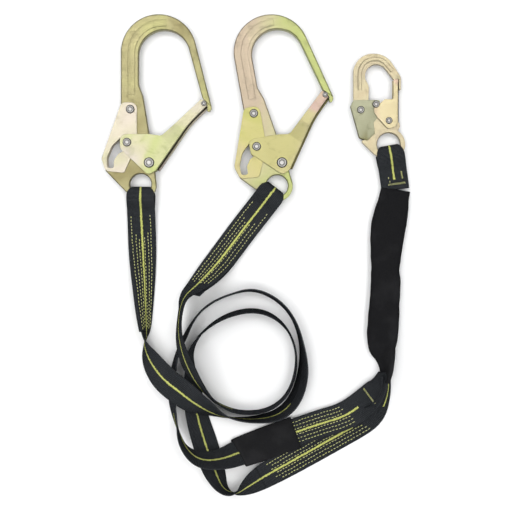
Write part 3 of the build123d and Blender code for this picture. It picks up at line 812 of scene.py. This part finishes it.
def shock_pack():
    """The cover, and the tear web and backup web inside it."""
    run = lay(COVER).restarted()
    spans = len(COVER) - 2
    stops = np.clip(np.arange(len(COVER)) - 0.5, 0, spans)
    read = np.linspace(0, spans, len(run.centre))
    sizes = np.stack([np.interp(read, stops, [stop[k] for stop in COVER]) for k in (4, 5)], axis=1)
    cover = loft_tube("absorber_cover_cloth", run, sizes, COVER_WALL, 72, cover_wrinkle, COVER_CLOTH)
    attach(cover, "lanyard")
    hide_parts("absorber_cover")
    last = nearest(run.centre, CORE_END)
    inner = run.part(CORE_FIRST, last)
    inner_sizes = sizes[CORE_FIRST:last + 1]
    core = solid_tape("tear_web_folds", inner, inner_sizes, (7 * MM, 7 * MM), 28, 0.055, TEAR_WEB)
    backup = solid_tape("backup_web_ply", inner, inner_sizes, (15 * MM, 16.7 * MM), 20, -0.13, TEAR_WEB)
    for piece, node in ((core, "tear_web_core"), (backup, "backup_web")):
        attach(piece, "lanyard")
        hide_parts(node)


# ----------------------------------------------------------------------------- hooks

def rivet_heads(name, body, nodes):
    """Turned heads with a ring groove and a dimple, seated on both ends of the CAD pins; the rim, its sides
    and the groove get a darker steel as painted shade.
    """
    verts, faces, dark = [], [], []
    rows = len(RIVET_PROFILE)
    for node in nodes:
        low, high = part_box(node)
        x, y, reach = (low.x + high.x) / 2, (low.y + high.y) / 2, (high.x - low.x) / 2
        for level, up in ((high.z, 1), (low.z, -1)):
            base = len(verts)
            for share, lift in RIVET_PROFILE:
                for k in range(RIVET_SIDES):
                    turn = 2 * math.pi * k / RIVET_SIDES
                    verts.append((x + reach * share * math.cos(turn), y + reach * share * math.sin(turn),
                                  level + up * lift * MM))
            first = len(faces)
            faces += ring_faces(rows, RIVET_SIDES, base) + end_faces(rows, RIVET_SIDES, base)
            dark += [first + row * RIVET_SIDES + k for row in RIVET_SHADE_ROWS for k in range(RIVET_SIDES)]
    piece = mesh_piece(name, verts, faces, PLATING["rivet_steel"])
    piece.data.materials.append(RIVET_PAINTED_SHADE)
    for index in dark:
        piece.data.polygons[index].material_index = 1
    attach(piece, body)


def hook_place(side, x, y, z):
    """A place given in a hook's own millimetres from its eye's middle."""
    turn = math.radians(HOOK_TURN[side])
    c, s = math.cos(turn), math.sin(turn)
    eye = EYE[side]
    return (eye[0] + (c * x - s * y) * MM, eye[1] + (s * x + c * y) * MM, eye[2] + z * MM)


def edge_strip(name, side, line, bands):
    """Strips along a gate's outer edge. Each band is (inner offset, outer offset, low, high, material).

    Low and high are (share of the gate's half thickness, millimetres above that).
    """
    flat = np.array([stop[:2] for stop in line], float)
    run = unit(np.gradient(flat, axis=0))
    out = np.stack([run[:, 1], -run[:, 0]], axis=1)
    for number, (inner, outer, low, high, material) in enumerate(bands):
        verts = []
        for spot, outward, stop in zip(flat, out, line):
            base, crest = (share * stop[2] + extra for share, extra in (low, high))
            corners = (
                (inner, base), (outer, base), (outer, crest - 0.3), (outer - 0.3, crest), (inner, crest))
            verts += [hook_place(side, *(spot + outward * offset), level) for offset, level in corners]
        faces = ring_faces(len(line), 5) + end_faces(len(line), 5)
        piece = mesh_piece(name + "_" + str(number), verts, faces, material, smooth=False)
        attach(piece, side + "_gate")


def gate_lip(side, strip, gap):
    """A rebar gate's folded outer edge: its rim, a dark strip of painted shade in the gap below it, and the
    far leaf's strip.
    """
    edge_strip(side + "_gate_lip", side, GATE_EDGE, [
        (-1.1, 0.1, (1, -2.0), (1, 0.35), PLATING[side + "_gate_plating"]),
        (-0.4, gap, (-0.9, 0), (-0.25, 0), PAINTED_SHADE_GAP),
        (gap - 0.1, gap + 1.9, (-1, 0), (-1, 2.2), strip)])


def hook_platings():
    """The zinc plating of each metal slot, pinker or greener from part to part."""
    return {
        "left_body_plating": plating(
            "left_body", [(0.16, 0.14, 0.065), (0.21, 0.19, 0.097), (0.23, 0.22, 0.098)], 14.0),
        "left_gate_plating": plating(
            "left_gate", [(0.26, 0.29, 0.11), (0.32, 0.30, 0.20), (0.32, 0.29, 0.24)]),
        "left_lever_plating": plating(
            "left_lever", [(0.31, 0.29, 0.20), (0.34, 0.30, 0.25), (0.32, 0.26, 0.23)], 12.0),
        "right_body_plating": plating(
            "right_body", [(0.27, 0.22, 0.16), (0.28, 0.26, 0.15), (0.245, 0.265, 0.10)], 12.0,
            trend=(6.0, -0.3, -0.01)),
        "right_gate_plating": plating(
            "right_gate", [(0.27, 0.25, 0.11), (0.29, 0.26, 0.14), (0.30, 0.22, 0.18)],
            trend=(3.0, 0.0, -0.2)),
        "right_lever_plating": plating(
            "right_lever", [(0.26, 0.25, 0.088), (0.30, 0.27, 0.12), (0.29, 0.25, 0.14)]),
        "snap_body_plating": plating(
            "snap_body", [(0.26, 0.22, 0.15), (0.32, 0.28, 0.18), (0.30, 0.25, 0.16)], 24.0),
        "snap_gate_plating": plating(
            "snap_gate", [(0.34, 0.29, 0.17), (0.36, 0.31, 0.19), (0.35, 0.26, 0.19)], 26.0),
        "snap_lever_plating": plating(
            "snap_lever", [(0.11, 0.10, 0.042), (0.17, 0.17, 0.11), (0.21, 0.21, 0.14)], 24.0,
            trend=(0.0, 9.0, -1.46)),
        "rivet_steel": bright_steel("rivet_steel", (0.36, 0.35, 0.335), 0.34),
        "spring_steel": bright_steel("spring_steel", (0.30, 0.30, 0.29), 0.3),
    }


def plate_nodes():
    """Puts each metal CAD node's plating in its slot."""
    finishes = {"hook_frame": "body_plating", "gate": "gate_plating", "lock_lever": "lever_plating"}
    steels = {
        "gate_rivet": "rivet_steel", "lever_rivet": "rivet_steel", "gate_tail_pin": "rivet_steel",
        "gate_nose_pin": "rivet_steel", "latch_pin": "rivet_steel", "gate_spring": "spring_steel",
        "lever_spring": "spring_steel",
    }
    for name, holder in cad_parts.items():
        side, _, part = name.partition("_")
        finish = side + "_" + finishes[part] if part in finishes else steels.get(part)
        if finish:
            holder.data.materials.clear()
            holder.data.materials.append(PLATING[finish])


# ----------------------------------------------------------------------------- making

camera()
WEBBING = webbing("webbing")
THREAD = thread("lime_thread")
COVER_CLOTH = matte_cloth("cover_cloth", (0.008, 0.008, 0.009), (0.022, 0.022, 0.023), 1.1 * MM)
SLEEVE_CLOTH = matte_cloth("sleeve_cloth", (0.010, 0.010, 0.011), (0.026, 0.026, 0.027), 0.9 * MM, 0.75)
TEAR_WEB = matte_cloth("tear_web", (0.30, 0.29, 0.26), (0.52, 0.50, 0.45), 1.6 * MM)
PLATING = hook_platings()
# A darker steel painted on the rivets' rims and grooves as shade
RIVET_PAINTED_SHADE = bright_steel("rivet_painted_shade", (0.15, 0.145, 0.135), 0.4)
# A near-black steel painted into the gaps along the gates' folded edges as shade
PAINTED_SHADE_GAP = bright_steel("painted_shade_gap", (0.045, 0.038, 0.022), 0.5)
# The right gate plating's olive tint, made darker as painted shade on the far leaf below the gate's edge
OLIVE_SHADED_LEAF = bright_steel("olive_shaded_leaf", (0.16, 0.145, 0.06), 0.45)

# The two legs, each laid with its eye strap and its junction strap as one strand
left = lay(LEFT_EYE + LEFT_LEG[1:] + UPPER_JUNCTION[1:] + UPPER_END)
right = lay(RIGHT_EYE + RIGHT_LEG[1:] + LOWER_JUNCTION[1:])
leg_lengths = (
    leg("left_leg_webbing", left, LEFT_LEG, ((0.045, -0.190, 0.017), (-0.101, -0.200, 0.018)), 11.2),
    leg("right_leg_webbing", right, RIGHT_LEG, ((-0.030, -0.196, 0.0175), (-0.080, -0.165, 0.015)), 11.9),
)
left_eye = left.part(0, nearest(left.centre, LEFT_LEG[0][:3]))
right_eye = right.part(0, nearest(right.centre, RIGHT_LEG[0][:3]))
snap = lay(SNAP_EYE)
upper = left.part(nearest(left.centre, LEFT_LEG[-1][:3]), len(left.centre) - 1)
lower = right.part(nearest(right.centre, RIGHT_LEG[-1][:3]), len(right.centre) - 1)

eye_strap("left", left_eye, 6.0 * MM, -2.5 * MM)
eye_strap("right", right_eye, 6.0 * MM, -2.5 * MM, tail=10 * MM)
eye_strap("snap", snap, 4.5 * MM, -1.0 * MM, plain_end=12 * MM)
upper_end = upper.along[-1] + 1
lower_end = lower.along[-1] + 1
lower_turn = lower.mark((0.1560, -0.1900))
junction_strap("upper_junction_strap", upper, [(upper.mark((0.1350, -0.1980)), upper_end, OFF_STRAP)])
junction_strap("lower_junction_strap", lower, [
    (lower.mark((0.1225, -0.2180)), lower_turn, OFF_STRAP), (lower_turn, lower_end, 7 * MM)])

sleeve_first = int(np.searchsorted(left.along, upper.along[0] - 9 * MM))
sleeve_last = nearest(left.centre, (0.0500, -0.2240, 0.008))
sleeve_end = float(left.along[sleeve_last])
label_sleeve(left.part(sleeve_first, sleeve_last).restarted())
shock_pack()

# Sewing: the rows' places along each strap are in metres from where its strand starts
rng = random.Random(7)
sew("left_eye_stitching", left_eye, DOUBLE_FACE, [
    (u, a * MM, b * MM) for u, a, b in
    ((-12.6, 9, 149), (11.1, 8, 147), (-7.9, 32, 150), (-3.8, 38, 148), (2.7, 36, 150), (7.4, 30, 149))])
sew("right_eye_stitching", right_eye, DOUBLE_FACE, [
    (u, a * MM, b * MM) for u, a, b in
    ((-12.5, 4, 128), (12.0, 5, 126), (-7.9, 26, 129), (-3.8, 30, 127), (2.7, 29, 128), (7.4, 24, 127))])
upper_tack = upper.mark((0.1406, -0.1754))
sew("upper_stitching", upper, PLY_FACE, [
    (u, sleeve_end - 5 * MM, upper.mark(spot)) for u, spot in
    ((12.5, (0.108, -0.200)), (8.0, (0.113, -0.201)), (3.5, (0.110, -0.203)),
     (-3.5, (0.119, -0.205)), (-8.0, (0.123, -0.205)), (-12.5, (0.120, -0.205)))],
    [((upper_tack, -12 * MM), (upper_tack, 13 * MM), 34, 1.0 * MM)])
lower_start, lower_stop = lower.mark((0.0180, -0.2760)), lower.mark((0.1240, -0.2170))
sew("lower_stitching", lower, PLY_FACE, [
    (u, lower_start + a * MM, lower_stop + b * MM) for u, a, b in
    ((12.5, 0, -4), (8.0, 6, 0), (3.5, 3, 2), (-3.5, 8, 9), (-8.0, 4, 12), (-12.5, 11, 15))])
snap_tack = snap.mark((0.1750, 0.0868))
sew("snap_stitching", snap, DOUBLE_FACE, [(-6.5, 10 * MM, 12 * MM), (-5.8, 15 * MM, 17 * MM)], [
    ((snap_tack, -8 * MM), (snap_tack, 13 * MM), 30, 1.1 * MM),
    ((5 * MM, 10 * MM), (14 * MM, 10.5 * MM), 12, 0.7 * MM)])

# Hooks: the forged and folded CAD shapes with their plating, rivet heads and gate lips
plate_nodes()
for side in ("left", "right"):
    rivet_heads(side + "_hook_rivet_heads", side + "_hook", [side + "_gate_rivet", side + "_lever_rivet"])
    rivet_heads(side + "_gate_pin_heads", side + "_gate", [side + "_gate_tail_pin", side + "_gate_nose_pin"])
rivet_heads("snap_hook_rivet_heads", "snap_hook", ["snap_gate_rivet", "snap_lever_rivet"])
rivet_heads("snap_latch_pin_heads", "snap_lever", ["snap_latch_pin"])
# A dark line of painted shade along the snap gate's outer edge, where its channel lies in shadow
edge_strip("snap_gate_shade_line", "snap", SNAP_GATE_EDGE, [(0.0, 1.1, (1, -1.0), (1, 0.25), PAINTED_SHADE_GAP)])
gate_lip("left", PLATING["left_lever_plating"], 1.0)
# The right gate's far leaf is painted darker as shade
gate_lip("right", OLIVE_SHADED_LEAF, 0.6)

studio()
